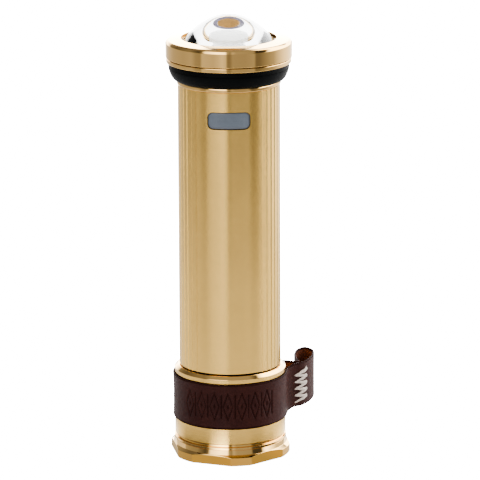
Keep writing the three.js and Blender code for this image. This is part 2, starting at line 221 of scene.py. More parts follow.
def turned_vector(graph, along, across, radial):
    """Coordinates that follow a turned surface: arc round Z, height and radius, each scaled."""
    x, y, z = graph.node("SeparateXYZ", Vector=object_vector(graph)).outputs
    squares = graph.maths("ADD", graph.maths("MULTIPLY", x, x), graph.maths("MULTIPLY", y, y))
    return graph.node(
        "CombineXYZ",
        X=graph.maths("MULTIPLY", graph.turn_angle(x, y), along),
        Y=graph.maths("MULTIPLY", z, across),
        Z=graph.maths("MULTIPLY", graph.maths("SQRT", squares), radial),
    ).outputs[0]


# ---- Materials ----
def brass(name, tone, roughness, brushing, anisotropy):
    """Turned brass: lathe brushing round the axis, faint cloudy patina and fine scratches."""
    material, g = start_material(name)
    lines = g.noise(turned_vector(g, 1.2, 9000, 3000), 1.0, 4.0, 0.6)
    coarse = g.noise(turned_vector(g, 2.0, 1500, 400), 1.0, 2.0)
    clouds = g.noise(object_vector(g), 55.0, 3.0)
    marks = g.node("TexNoise", Vector=object_vector(g), Scale=260.0, Detail=2.0, Distortion=4.0)
    scratches = marks.outputs["Fac"]
    dark = [c * 0.86 for c in tone]
    light = [min(1.0, c * 1.06) for c in tone]
    color = g.mix(clouds, (*dark, 1), (*light, 1))
    color = g.mix(g.remap(lines, 0.0, 0.28), color, (*[c * 0.8 for c in tone], 1))
    turning = g.remap(lines, roughness * 0.75, roughness * 1.25)
    finish = g.maths("ADD", turning, g.remap(scratches, -0.015, 0.015))
    height = g.maths("ADD", g.maths("MULTIPLY", lines, brushing), g.maths("MULTIPLY", coarse, brushing * 0.6))
    tangent = g.node("Tangent", {"direction_type": "RADIAL", "axis": "Z"}).outputs[0]
    return finish_material(
        material, g, Base_Color=color, Metallic=1.0, Roughness=finish, Anisotropic=anisotropy,
        Anisotropic_Rotation=0.25, Tangent=tangent, Normal=g.bump(height, 0.00002),
    )


def rubber():
    """Dull moulded rubber, nearly black."""
    material, g = start_material("black_rubber")
    fine = g.noise(object_vector(g), 2600.0, 3.0)
    broad = g.noise(object_vector(g), 120.0, 2.0)
    color = g.mix(broad, (0.0014, 0.0016, 0.0017, 1), (0.0028, 0.0030, 0.0032, 1))
    return finish_material(
        material, g, Base_Color=color, Roughness=g.remap(broad, 0.38, 0.52),
        Normal=g.bump(fine, 0.00003, 0.5), Specular_IOR_Level=0.08,
    )


def leather(name, dark, light, roughness, shine=0.12):
    """Waxed leather: pores, creases and a cloudy stain."""
    material, g = start_material(name)
    place = object_vector(g)
    pores = g.node("TexVoronoi", {"feature": "DISTANCE_TO_EDGE"}, Vector=place, Scale=1900.0)
    creases = g.noise(place, 700.0, 5.0, 0.6)
    stain = g.noise(place, 140.0, 4.0)
    grain = g.maths("MINIMUM", g.maths("MULTIPLY", pores.outputs["Distance"], 3.0), 1.0)
    color = g.mix(g.remap(stain, -0.3, 1.3), (*dark, 1), (*light, 1))
    color = g.mix(g.remap(grain, 0.45, 0.0), color, (*[c * 0.45 for c in dark], 1))
    height = g.maths("ADD", g.maths("MULTIPLY", grain, 0.55), g.maths("MULTIPLY", creases, 0.8))
    rough = g.maths("ADD", g.remap(creases, roughness - 0.1, roughness + 0.12), g.remap(stain, -0.05, 0.05))
    return finish_material(
        material, g, Base_Color=color, Roughness=rough, Normal=g.bump(height, 0.00008, 0.8),
        Specular_IOR_Level=shine,
    )


def thread():
    """Off-white waxed thread with darker fibres and soiled stretches."""
    material, g = start_material("stitch_thread")
    fibres = g.noise(object_vector(g), 3200.0, 4.0, 0.7)
    broad = g.noise(object_vector(g), 500.0, 2.0)
    color = g.mix(fibres, (0.42, 0.34, 0.29, 1), (0.80, 0.72, 0.65, 1))
    color = g.mix(g.remap(broad, 0.0, 0.35), color, (0.35, 0.26, 0.22, 1))
    return finish_material(
        material, g, Base_Color=color, Roughness=0.85, Normal=g.bump(fibres, 0.00005), Sheen_Weight=0.3,
    )


def plain(name, dark, light, roughness, metallic=0.0, scale=900.0, bump=0.00001, shine=0.5):
    """A moulded or plated surface with a little variation in tone and a fine texture."""
    material, g = start_material(name)
    fine = g.noise(object_vector(g), scale, 3.0)
    broad = g.noise(object_vector(g), scale / 12, 2.0)
    color = g.mix(broad, (*dark, 1), (*light, 1))
    return finish_material(
        material, g, Base_Color=color, Metallic=metallic,
        Roughness=g.remap(fine, roughness - 0.05, roughness + 0.05), Normal=g.bump(fine, bump, 0.6),
        Specular_IOR_Level=shine,
    )


def glass(name, ior, tint):
    """Clear glass with faint smudges."""
    material, g = start_material(name)
    smudge = g.noise(object_vector(g), 90.0, 3.0)
    return finish_material(
        material, g, Base_Color=(*tint, 1), Transmission_Weight=1.0, IOR=ior,
        Roughness=g.remap(smudge, 0.0, 0.012),
    )


materials = {
    "brushed_brass": brass("brushed_brass", (0.88, 0.575, 0.185), 0.21, 0.6, 0.9),
    "polished_brass": brass("polished_brass", (0.88, 0.57, 0.22), 0.035, 0.02, 0.0),
    "black_rubber": rubber(),
    "black_plastic": plain("black_plastic", (0.012, 0.012, 0.014), (0.02, 0.02, 0.022), 0.45),
    "steel": plain("steel", (0.62, 0.61, 0.60), (0.72, 0.72, 0.72), 0.22, 1.0, 1500.0),
    "leather": leather("leather_grain", (0.030, 0.0070, 0.0058), (0.056, 0.0165, 0.0125), 0.42),
    "leather_edge": leather("leather_edge", (0.019, 0.0055, 0.0048), (0.036, 0.012, 0.0095), 0.6, 0.04),
    "leather_flesh": leather("leather_flesh", (0.11, 0.036, 0.020), (0.22, 0.078, 0.042), 0.75),
    "stitch_thread": thread(),
    "cell_wrap": plain("cell_wrap", (0.02, 0.05, 0.11), (0.03, 0.07, 0.14), 0.3),
    "button_grey": plain("button_grey", (0.100, 0.117, 0.144), (0.122, 0.142, 0.172), 0.55, 0.0, 1800.0,
                         0.00002),
    "white_ceramic": plain("white_ceramic", (0.78, 0.78, 0.75), (0.86, 0.86, 0.84), 0.4),
    "circuit_board": plain("circuit_board", (0.01, 0.07, 0.03), (0.02, 0.11, 0.05), 0.35),
    "aluminium": plain("aluminium", (0.70, 0.70, 0.71), (0.80, 0.80, 0.81), 0.28, 1.0, 2200.0),
    "phosphor": plain("phosphor", (0.17, 0.095, 0.028), (0.22, 0.125, 0.04), 0.6, 0.0, 2500.0, shine=0.0),
    "led_resin": plain("led_resin", (0.105, 0.095, 0.125), (0.14, 0.128, 0.16), 0.5, shine=0.0),
    "reflector_mirror": plain("reflector_mirror", (0.90, 0.90, 0.91), (0.95, 0.95, 0.95), 0.4, 0.25, 600.0),
    "lens_glass": glass("lens_glass", 1.5, (0.995, 1.0, 0.998)),
}


# ---- Mesh helpers ----
def put_mesh(name, bm, slot, body, replaces, smooth_angle=35.0, more_materials=(), is_second=None):
    """Makes a piece from a bmesh in millimetres, gives it its finish and lets it ride on its body.

    Faces whose middle passes is_second get the first of more_materials instead of the slot's own.
    """
    bmesh.ops.scale(bm, vec=(MM, MM, MM), verts=bm.verts)
    bmesh.ops.recalc_face_normals(bm, faces=bm.faces)
    mesh = bpy.data.meshes.new(name)
    bm.to_mesh(mesh)
    bm.free()
    mesh.shade_smooth()
    mesh.set_sharp_from_angle(angle=math.radians(smooth_angle))
    for material in (slot, *more_materials):
        mesh.materials.append(materials[material])
    if is_second:
        for face in mesh.polygons:
            face.material_index = int(is_second(face.center / MM))
    piece = bpy.data.objects.new(name, mesh)
    bpy.context.scene.collection.objects.link(piece)
    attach(piece, body)
    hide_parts(*replaces)
    return piece


ON_AXIS = 1e-6
SMALLEST_FILLET = 1e-3
FILLET_SHARE = 0.45
HOLD = 0.15


def rounded(profile, fillet, steps, closed):
    """Rounds a [radius, height] profile's corners. A third number on a point is its own fillet.

    A point on each side of a fillet, where there is room, holds the flat next to it flat.
    """
    points = [Vector(p[:2]) for p in profile]
    sizes = [p[2] if len(p) > 2 else fillet for p in profile]
    count = len(points)
    made = []
    for i, point in enumerate(points):
        ends = not closed and i in (0, count - 1)
        before = points[i - 1]
        after = points[(i + 1) % count]
        shorter = min((point - before).length, (after - point).length)
        size = 0 if ends else min(sizes[i], shorter * FILLET_SHARE)
        if size < SMALLEST_FILLET:
            made.append(point)
            continue
        inward = (before - point).normalized()
        outward = (after - point).normalized()
        start = point + inward * size
        end = point + outward * size
        hold = min(HOLD, size)
        if (before - point).length > size + 3 * hold:
            made.append(start + inward * hold)
        for step in range(steps + 1):
            t = step / steps
            made.append(start * (1 - t) ** 2 + 2 * point * t * (1 - t) + end * t * t)
        if (after - point).length > size + 3 * hold:
            made.append(end + outward * hold)
    return made


def ring_pairs(rings, closed):
    """Each ring with the next one, and the last with the first when they close on themselves."""
    return zip(rings, rings[1:] + rings[:1]) if closed else zip(rings, rings[1:])


def bridge(bm, lower, upper):
    """Joins two loops of vertices with a band of faces."""
    for i in range(len(lower)):
        j = (i + 1) % len(lower)
        bm.faces.new((lower[i], lower[j], upper[j], upper[i]))


def lathe_mesh(profile, sides, fillet=None, steps=4):
    """Turns a profile round Z into a bmesh in millimetres, one vertex where it meets the axis.

    Without a fillet the profile's points are used as they are.
    """
    closed = profile[0][0] > ON_AXIS
    points = [Vector(p[:2]) for p in profile] if fillet is None else rounded(profile, fillet, steps, closed)
    bm = bmesh.new()
    rings = []
    for point in points:
        if point.x < ON_AXIS:
            rings.append([bm.verts.new((0, 0, point.y))] * sides)
            continue
        turns = (TAU * i / sides for i in range(sides))
        rings.append([bm.verts.new((point.x * math.sin(a), -point.x * math.cos(a), point.y)) for a in turns])
    for lower, upper in ring_pairs(rings, closed):
        for i in range(sides):
            j = (i + 1) % sides
            corners = [lower[i], lower[j], upper[j], upper[i]]
            unique = list(dict.fromkeys(corners))
            if len(unique) > 2:
                bm.faces.new(unique)
    return bm


def turned_piece(name, profile, slot, body, node, sides, fillet, steps=4, **more):
    """A turned piece that stands for one CAD node."""
    return put_mesh(name, lathe_mesh(profile, sides, fillet, steps), slot, body, [node], **more)


def thread_profile(crest_r, root_r, low, pitch, groove, crest_fillet, root_fillet):
    """A screw thread as ring grooves going up: groove holds each corner's height over its turn's start."""
    corners = [(crest_r, crest_fillet), (root_r, root_fillet), (root_r, root_fillet), (crest_r, crest_fillet)]
    return [(radius, low + pitch * turn + height, fillet)
            for turn in range(THREAD_TURNS) for (radius, fillet), height in zip(corners, groove)]


def sweep_mesh(path, section, closed=False):
    """Sweeps section(i) -> [(side, up) points] along a path of points in millimetres."""
    bm = bmesh.new()
    up = Vector((0, 0, 1))
    count = len(path)
    rings = []
    for i, point in enumerate(path):
        before = path[i - 1] if closed or i > 0 else point
        after = path[(i + 1) % count] if closed or i < count - 1 else point
        along = (after - before).normalized()
        side = along.cross(up).normalized()
        over = side.cross(along).normalized()
        rings.append([bm.verts.new(point + side * a + over * b) for a, b in section(i)])
    for lower, upper in ring_pairs(rings, closed):
        bridge(bm, lower, upper)
    if not closed:
        bm.faces.new(rings[0])
        bm.faces.new(list(reversed(rings[-1])))
    return bm


def spline(points, step, closed=False):
    """Points every `step` millimetres along a smooth curve through the given points."""
    count = len(points)
    fine = []
    spans = count if closed else count - 1
    for i in range(spans):
        p0 = points[i - 1] if closed or i > 0 else points[0]
        p1, p2 = points[i], points[(i + 1) % count]
        p3 = points[(i + 2) % count] if closed or i < count - 2 else points[-1]
        pieces = max(2, int((p2 - p1).length / step * 3))
        for k in range(pieces):
            t = k / pieces
            fine.append(0.5 * ((2 * p1) + (p2 - p0) * t + (2 * p0 - 5 * p1 + 4 * p2 - p3) * t ** 2
                               + (3 * p1 - p0 - 3 * p2 + p3) * t ** 3))
    fine.append(points[0].copy() if closed else points[-1].copy())
    lengths = [0.0]
    for a, b in zip(fine, fine[1:]):
        lengths.append(lengths[-1] + (b - a).length)
    number = max(2, round(lengths[-1] / step))
    made = []
    k = 0
    for i in range(number + (0 if closed else 1)):
        target = lengths[-1] * i / number
        while k < len(lengths) - 2 and lengths[k + 1] < target:
            k += 1
        span = lengths[k + 1] - lengths[k]
        made.append(fine[k].lerp(fine[k + 1], (target - lengths[k]) / span if span else 0))
    return made


def boolean_cut(piece, cutter_mesh):
    """Cuts a closed bmesh in millimetres out of a piece, and keeps the result as its mesh."""
    bmesh.ops.scale(cutter_mesh, vec=(MM, MM, MM), verts=cutter_mesh.verts)
    bmesh.ops.recalc_face_normals(cutter_mesh, faces=cutter_mesh.faces)
    mesh = bpy.data.meshes.new("cutter")
    cutter_mesh.to_mesh(mesh)
    cutter_mesh.free()
    cutter = bpy.data.objects.new("cutter", mesh)
    bpy.context.scene.collection.objects.link(cutter)
    modifier = piece.modifiers.new("cut", "BOOLEAN")
    modifier.object = cutter
    modifier.solver = "EXACT"
    bpy.context.view_layer.update()
    evaluated = piece.evaluated_get(bpy.context.evaluated_depsgraph_get())
    cut = bpy.data.meshes.new_from_object(evaluated)
    piece.modifiers.clear()
    piece.data = cut
    bpy.data.objects.remove(cutter)
    cut.set_sharp_from_angle(angle=math.radians(30))


# ---- Head: bezel, head body, rubber ring, lens ----
BEZEL_R = 21.55
LIP_R = 21.35
LIP_HIGH = 139.08
HEAD_THREAD_R = 19.1
HEAD_HIGH = 143.1
HEAD_LOW = 124.9
NECK_LOW = 131.65


def make_bezel():
    """Screw-on ring: a skirt over the head's thread and a broad sloping top that holds the lens down."""
    thread_bore, skirt_bore, opening = 19.3, 20.7, 16.2
    skirt_high = BEZEL_LOW + 1.0
    lens_stop = 144.4
    turned_piece("bezel_ring", [
        (thread_bore, skirt_high), (skirt_bore, skirt_high), (skirt_bore, BEZEL_LOW),
        (BEZEL_R, BEZEL_LOW, 0.22), (BEZEL_R, BEZEL_HIGH - 1.05, 0.2),
        (BEZEL_R - 0.37, BEZEL_HIGH - 0.38, 0.2), (BEZEL_R - 0.9, BEZEL_HIGH, 0.2),
        (opening, BEZEL_HIGH + 0.55, 0.12), (opening, lens_stop), (thread_bore, lens_stop),
    ], "polished_brass", "bezel_ring", "bezel", sides=192, fillet=0.08, steps=8)


def make_head_body():
    """The spigot that screws into the barrel, the lip over the rubber ring and the bezel's thread."""
    spigot_r, spigot_bore = 15.5, 13.25
    seal_r, seal_low, seal_high = 14.55, 127.8, 129.1
    neck_r, reflector_bore = 17.0, 16.9
    floor_bore, floor_high = 14.0, 138.4
    lip_low = GRIP_HIGH + 0.15
    ridges = thread_profile(HEAD_THREAD_R, 18.6, LIP_HIGH + 0.45, 1.0, (0, 0.35, 0.5, 0.85), 0.03, 0.05)
    turned_piece("head_body", [
        (spigot_bore, HEAD_LOW), (spigot_r, HEAD_LOW), (spigot_r, seal_low), (seal_r, seal_low),
        (seal_r, seal_high), (spigot_r, seal_high), (spigot_r, NECK_LOW), (neck_r, NECK_LOW),
        (neck_r, lip_low), (LIP_R, lip_low, 0.2), (LIP_R, LIP_HIGH, 0.25), (HEAD_THREAD_R, LIP_HIGH), *ridges,
        (HEAD_THREAD_R, HEAD_HIGH), (reflector_bore, HEAD_HIGH), (reflector_bore, floor_high),
        (floor_bore, floor_high), (floor_bore, NECK_LOW + 0.1), (spigot_bore, NECK_LOW + 0.1),
    ], "polished_brass", "barrel", "head_body", sides=160, fillet=0.08)


def make_grip_ring():
    """Rubber ring that swells from the barrel's rim to the lip."""
    bore, low = 17.15, RIM_TOP + 0.15
    turned_piece("grip_ring", [
        (bore, low), (18.15, low, 0.1), (18.75, RIM_TOP + 0.3, 0.3), (19.4, 132.5, 0.6), (20.06, 133.8, 0.7),
        (20.5, 135.3, 0.7), (20.62, 136.4, 0.5), (20.6, GRIP_HIGH, 0.35), (bore, GRIP_HIGH),
    ], "black_rubber", "barrel", "grip_ring", sides=160, fillet=0.1)


def make_lens():
    """The bull's-eye lens: an aspheric crown over a flange, hollowed underneath for the raised lamp."""
    crown_r, foot_r, foot_z = 14.9, 15.3, 144.7
    flange_r, flange_high, chamfer = 18.8, 144.25, 0.1
    hollow_high = 147.5
    steps = 44
    squash = (LENS_HIGH - foot_z) / (foot_r ** 2 / (2 * crown_r))
    dome = []
    for i in range(steps, -1, -1):
        radius = foot_r * math.sin(math.pi / 2 * i / steps)
        share = (radius / foot_r) ** 4
        dome.append((radius, LENS_HIGH - radius ** 2 / (2 * crown_r) * (1 + share * (squash - 1))))
    flange = [(flange_r - chamfer, LENS_LOW), (flange_r, LENS_LOW + chamfer),
              (flange_r, flange_high - chamfer), (flange_r - chamfer, flange_high),
              (foot_r + 0.6, flange_high), (foot_r + 0.2, flange_high + 0.1)]
    hollow = [(0, hollow_high), (4.35, hollow_high), (6.2, 146.15), (7.0, foot_z)]
    bm = lathe_mesh([(7.1, LENS_LOW), *flange, *dome, *hollow], 192)
    put_mesh("dome_lens", bm, "lens_glass", "lens_unit", ["dome_lens"], smooth_angle=50)


def make_led():
    """The lamp on its post: a package whose dam and phosphor reach up to the glass."""
    package_r, package_low, package_high = 4.2, 146.6, 147.25
    lamp_low, lamp_high, phosphor_r = 147.2, 147.52, 3.01
    turned_piece("led_package", [
        (0, package_low), (package_r, package_low), (package_r, package_high - 0.1),
        (package_r - 0.1, package_high), (0, package_high),
    ], "led_resin", "barrel", "led_package", sides=72, fillet=0.05)
    turned_piece("led_dam", [
        (phosphor_r + 0.01, lamp_low), (4.17, lamp_low), (4.15, lamp_high),
        (phosphor_r + 0.03, lamp_high + 0.01),
    ], "led_resin", "barrel", "led_dam", sides=72, fillet=0.04)
    turned_piece("led_phosphor", [
        (0, lamp_low), (phosphor_r, lamp_low), (phosphor_r, lamp_high), (0, lamp_high),
    ], "phosphor", "barrel", "led_phosphor", sides=72, fillet=0.03)


def make_cup_and_reflector():
    """The white cup round the lamp's post, and the bright dish round the cup."""
    turned_piece("led_cup", [
        (4.9, 133.4), (5.6, 133.4), (5.6, 142.2), (6.85, 143.35, 0.2), (6.85, 144.6, 0.3),
        (6.05, 146.05, 0.3), (4.5, 147.2), (4.35, 147.2), (4.35, 146.3), (5.3, 145.3, 0.3), (6.1, 144.3),
        (6.1, 143.7, 0.2), (4.9, 142.6),
    ], "white_ceramic", "barrel", "led_cup", sides=96, fillet=0.08)
    turned_piece("reflector", [
        (6.0, 135.1), (7.6, 135.8), (9.4, 136.6), (11.0, 137.5), (12.5, 138.55), (13.7, 139.7),
        (14.9, 141.2), (15.8, 142.9), (16.75, 142.9), (16.75, 142.1), (16.2, 142.1), (14.3, 139.2),
        (11.4, 136.8), (7.8, 135.3), (6.0, 134.7),
    ], "reflector_mirror", "barrel", "reflector", sides=128, fillet=0.1)


# ---- Barrel ----
FRONT_STEPS = 64
FRONT_MARGIN = 1.4
# One side of a flute's section: degrees from its middle, and the depth there.
FLUTE_SIDE = [(0.22, 0.36), (0.6, 0.26), (0.98, 0.05), (1.15, 0.0)]


def barrel_outline():
    """One closed turn of (angle, radius) pairs with a smooth front and flutes round the rest."""
    spacing = (360 - 2 * SMOOTH_HALF_ANGLE) / (FLUTE_COUNT - 1)
    flute = [(-a, depth) for a, depth in reversed(FLUTE_SIDE)] + FLUTE_SIDE
    front_half = SMOOTH_HALF_ANGLE - FRONT_MARGIN
    outline = [(-front_half + 2 * front_half * i / FRONT_STEPS, TUBE_R) for i in range(FRONT_STEPS + 1)]
    for i in range(FLUTE_COUNT):
        centre = SMOOTH_HALF_ANGLE + spacing * i
        outline += [(centre + a, TUBE_R - depth) for a, depth in flute]
        if i < FLUTE_COUNT - 1:
            outline += [(centre + spacing * part, TUBE_R) for part in (0.3, 0.5, 0.7)]
    return outline


def make_tube():
    """Fluted barrel: each outline point is a column that runs down the outside and up the bore."""
    # Levels of the outer wall, closer together round the button's slot and at both ends.
    heights = [TUBE_BOTTOM + 0.25, TUBE_BOTTOM + 0.6, 60, 90, 112, 115, 126, 128, TUBE_TOP - 0.35,
               TUBE_TOP - 0.1]
    foot = [(SPIGOT_R, SPIGOT_LOW), (SPIGOT_R, TUBE_BOTTOM), (TUBE_R - 0.25, TUBE_BOTTOM)]
    rim = [(TUBE_R - 0.15, TUBE_TOP), (RIM_R - 0.13, TUBE_TOP + 0.1), (RIM_R, TUBE_TOP + 0.3),
           (RIM_R, RIM_TOP - 0.35), (RIM_R - 0.07, RIM_TOP - 0.1), (TUBE_R, RIM_TOP + 0.05),
           (17.1, RIM_TOP + 0.1), (17.05, RIM_TOP - 0.1)]
    inside = [(SOCKET_R, RIM_TOP - 0.1), (SOCKET_R, SOCKET_LOW), (BORE_R, SOCKET_LOW), (BORE_R, SPIGOT_LOW)]
    bm = bmesh.new()
    columns = []
    for angle, radius in barrel_outline():
        a = math.radians(angle)
        section = [*foot, *((radius, z) for z in heights), *rim, *inside]
        columns.append([bm.verts.new((r * math.sin(a), -r * math.cos(a), z)) for r, z in section])
    for left, right in ring_pairs(columns, True):
        bridge(bm, right, left)
    piece = put_mesh("fluted_tube", bm, "brushed_brass", "barrel", ["tube"], smooth_angle=25,
                     more_materials=["polished_brass"],
                     is_second=lambda p: p.z > TUBE_TOP or p.z < TUBE_BOTTOM + 0.2)
    boolean_cut(piece, rounded_block(SLOT_WIDTH, SLOT_HEIGHT, SLOT_CORNER, front=-25, back=-5))


# ---- Push button and its slot ----
CORNER_STEPS = 8
SIDE_STEPS = 14


def rounded_outline(width, height, corner):
    """Points of a rounded rectangle, counter-clockwise from its lower right, with more on its long sides."""
    x, y = width / 2 - corner, height / 2 - corner
    centres = [(x, -y, -90), (x, y, 0), (-x, y, 90), (-x, -y, 180)]
    made = []
    for cx, cy, first in centres:
        for i in range(CORNER_STEPS + 1):
            a = math.radians(first + 90 * i / CORNER_STEPS)
            made.append((cx + corner * math.cos(a), cy + corner * math.sin(a)))
        if first in (0, 180):
            side = 1 if first == 0 else -1
            made += [(side * x * (1 - 2 * i / SIDE_STEPS), side * (y + corner)) for i in range(1, SIDE_STEPS)]
    return made


def rounded_block(width, height, corner, front, back):
    """A rounded rectangle in the XZ plane at the button's height, from front to back along Y."""
    bm = bmesh.new()
    outline = rounded_outline(width, height, corner)
    near = [bm.verts.new((x, front, BUTTON_Z + z)) for x, z in outline]
    far = [bm.verts.new((x, back, BUTTON_Z + z)) for x, z in outline]
    bm.faces.new(near)
    bm.faces.new(list(reversed(far)))
    bridge(bm, far, near)
    return bm


def make_button():
    """Cap of the push button: its face follows the barrel, and a lip holds it inside the bore."""
    # From the middle of the face, over its edge and the lip, to the middle of the back: each ring's
    # inset from the cap's outline and its radius round the barrel's axis. A negative inset is the lip's.
    rings = [
        (2.83, 17.3), (2.4, 17.3), (1.9, 17.3), (1.2, 17.29), (0.6, 17.27), (0.25, 17.2), (0.08, 17.08),
        (0, 16.9), (0, 14.05), (-1.2, 13.9), (-1.25, 13.85), (-1.25, 13.2), (-1.2, 13.12), (0.3, 13.1),
        (1.5, 13.1), (2.4, 13.2),
    ]
    bm = bmesh.new()
    loops = []
    for inset, radius in rings:
        is_lip = inset < 0
        wide = BUTTON_LIP_WIDTH if is_lip else BUTTON_WIDTH - 2 * inset
        tall = BUTTON_LIP_HEIGHT if is_lip else BUTTON_HEIGHT - 2 * inset
        corner = min(max(BUTTON_CORNER - inset, 0.2), tall / 2 - 0.01)
        loops.append([bm.verts.new((x, -math.sqrt(radius ** 2 - x * x), BUTTON_Z + z))
                      for x, z in rounded_outline(wide, tall, corner)])
    for outer, inner in ring_pairs(loops, False):
        bridge(bm, outer, inner)
    bm.faces.new(loops[0])
    bm.faces.new(list(reversed(loops[-1])))
    put_mesh("push_button_cap", bm, "button_grey", "button", ["push_button"])


# ---- Tail: collar and cap ----
FLANGE_R = 20.85
FLANGE_HIGH = 3.0
FLANGE_SLOPE = 0.6
WRENCH_FLATS = 6
FLAT_HALF_ANGLE = math.radians(19.6875)
CAP_NECK_R = 19.12
BEAD_R = 19.38
CONE_R = 18.82
PLUG_R = 15.6
PLUG_GROOVE_R = 14.9
PLUG_BORE = 12.6
CAP_FLOOR = 3.2


def make_collar():
    """Collar between the barrel and the cap, with a shallow seat for the strap and a polished shoulder."""
    shoulder = 30.36
    seat_low, seat_high = 12.85, 28.85
    cap_bore, spigot_bore, step_high = 15.85, 16.5, 21.8
    turned_piece("tail_collar", [
        (cap_bore, COLLAR_LOW), (COLLAR_R, COLLAR_LOW, 0.15), (COLLAR_R, seat_low - 0.1, 0.05),
        (STRAP_SEAT_R, seat_low, 0.05), (STRAP_SEAT_R, seat_high, 0.05), (COLLAR_R, seat_high + 0.1, 0.05),
        (COLLAR_R, shoulder, 0.08), (17.98, COLLAR_HIGH, 0.12), (spigot_bore, COLLAR_HIGH),
        (spigot_bore, step_high), (cap_bore, step_high),
    ], "brushed_brass", "barrel", "tail_collar", sides=192, fillet=0.08, more_materials=["polished_brass"],
        is_second=lambda p: p.z > 30.2)


def cut_wrench_flats(bm):
    """Moves the flange's wall in to six flats, and lets its sloping top follow."""
    flat = FLANGE_R * math.cos(FLAT_HALF_ANGLE)
    half_step = math.pi / WRENCH_FLATS
    for v in bm.verts:
        radius = math.hypot(v.co.x, v.co.y)
        turn = (math.atan2(v.co.x, -v.co.y) + FLAT_HALF_ANGLE + half_step) % (2 * half_step) - half_step
        on_wall = v.co.z < FLANGE_HIGH + 0.3 and radius > 20
        if on_wall and abs(turn) < FLAT_HALF_ANGLE:
            shift = FLANGE_R - flat / math.cos(turn)
            v.co.x *= (radius - shift) / radius
            v.co.y *= (radius - shift) / radius
            v.co.z += shift * FLANGE_SLOPE if v.co.z > FLANGE_HIGH - 0.1 else 0


def make_tail_cap():
    """Screw-on cap: flange with wrench flats, sloping top, bead and neck below the threaded plug."""
    slope_r = 19.58
    slope_high = FLANGE_HIGH + (FLANGE_R - slope_r) * FLANGE_SLOPE
    seal_low, seal_high = 8.6, 9.9
    neck_high = 7.15
    outside = [
        (0, 0), (FLANGE_R - 0.5, 0, 0.15), (FLANGE_R, 0.4, 0.1), (FLANGE_R, FLANGE_HIGH, 0.06),
        (slope_r, slope_high, 0.05), (CAP_NECK_R + 0.1, 5.3, 0.03), (CAP_NECK_R, 5.34, 0.02),
        (CAP_NECK_R, 5.46, 0.02), (BEAD_R, 5.5, 0.03), (BEAD_R, 6.22, 0.1), (19.15, 6.32, 0.04),
        (CONE_R, 6.36, 0.02), (CONE_R + 0.07, neck_high, 0.03),
    ]
    ridges = thread_profile(PLUG_R, PLUG_GROOVE_R, 10.5, 1.5, (0, 0.5, 0.75, 1.25), 0.03, 0.06)
    plug = [
        (PLUG_R, neck_high), (PLUG_R, seal_low), (PLUG_GROOVE_R, seal_low), (PLUG_GROOVE_R, seal_high),
        (PLUG_R, seal_high), *ridges, (PLUG_R, CAP_HIGH, 0.3), (PLUG_BORE, CAP_HIGH, 0.3),
        (PLUG_BORE, CAP_FLOOR), (0, CAP_FLOOR),
    ]
    bm = lathe_mesh(outside + plug, 192, 0.08, steps=10)
    cut_wrench_flats(bm)
    put_mesh("tail_cap", bm, "polished_brass", "tail_unit", ["tail_cap"], smooth_angle=16)


# ---- Leather strap ----
BAND_STEPS = 30
BAND_FRONT = math.radians(-4)
BAND_BACK = math.radians(53)
# The tab's line from the band's front end, out round the loop and back to the band.
TAB_LINE = [
    (19.62, 1.0), (20.8, 3.2), (22.6, 5.0), (24.5, 6.4), (25.9, 8.2), (27.5, 11.6), (28.7, 15.8),
    (29.1, 19.6), (28.7, 23.2), (26.3, 25.9), (23.8, 23.4), (22.8, 19.0), (22.8, 14.5), (23.5, 10.6),
    (23.9, 8.9), (23.0, 7.9), (21.2, 8.35), (19.4, 9.55), (15.5, 12.4),
]
TAB_START_R = 19.6
TAB_RISE = 0.7
TAB_RISE_REACH = 2.5
BAND_CURL = 0.2
TAB_CURL = 0.05
INSIDE_CURL_SHARE = 0.6
HALF_THICKNESS = 0.37
ACROSS_STEPS = 60
# The leather's rounded edge, from the outer face: share of the half thickness, and of the half width.
EDGE = [(0.22, 1.0), (0.62, 0.975), (0.92, 0.945)]
FACE_REACH = 0.93
INSIDE_HEIGHTS = [0.9, 0.6, 0.3, 0.0, -0.3, -0.6, -0.9]
EMBOSS_START = math.radians(-50)
EMBOSS_PITCH = math.radians(14)
EMBOSS_CELLS = 7
EMBOSS_DEPTH = 0.22
TOOLED_DEPTH = 0.12
# The tooling's cell, across as shares of its pitch and upright in millimetres.
LOZENGE_MIDDLE, LOZENGE_HALF_WIDTH, LOZENGE_HALF_HEIGHT = 0.4, 0.34, 4.7
BAR_MIDDLE, BAR_WIDTH, BAR_HALF_HEIGHT = 0.9, 0.06, 4.2
GROOVE_WIDTH = 0.15
HEART_SIZE = 0.3


def strap_path():
    """The strap's closed centreline: round the collar, out to the seam, round the loop and back."""
    sweep = TAU - BAND_BACK + BAND_FRONT
    angles = [BAND_BACK + sweep * i / BAND_STEPS for i in range(BAND_STEPS + 1)]
    band = [Vector((BAND_R * math.cos(a), BAND_R * math.sin(a), 0)) for a in angles]
    return band + [Vector((x, y, 0)) for x, y in TAB_LINE]


def strap_emboss(point, height):
    """Depth of the tooling on the front of the band: lozenges with an upright bar after each."""
    along = (math.atan2(point.x, -point.y) - EMBOSS_START) / EMBOSS_PITCH
    if not 0 < along < EMBOSS_CELLS:
        return 0.0
    cell = along % 1.0
    reach = abs(cell - LOZENGE_MIDDLE) / LOZENGE_HALF_WIDTH + abs(height) / LOZENGE_HALF_HEIGHT
    groove = math.exp(-((reach - 1.0) / GROOVE_WIDTH) ** 2)
    heart = math.exp(-(reach / HEART_SIZE) ** 2)
    bar = math.exp(-((cell - BAR_MIDDLE) / BAR_WIDTH) ** 2) if abs(height) < BAR_HALF_HEIGHT else 0.0
    return EMBOSS_DEPTH * min(1.0, groove + heart + bar)


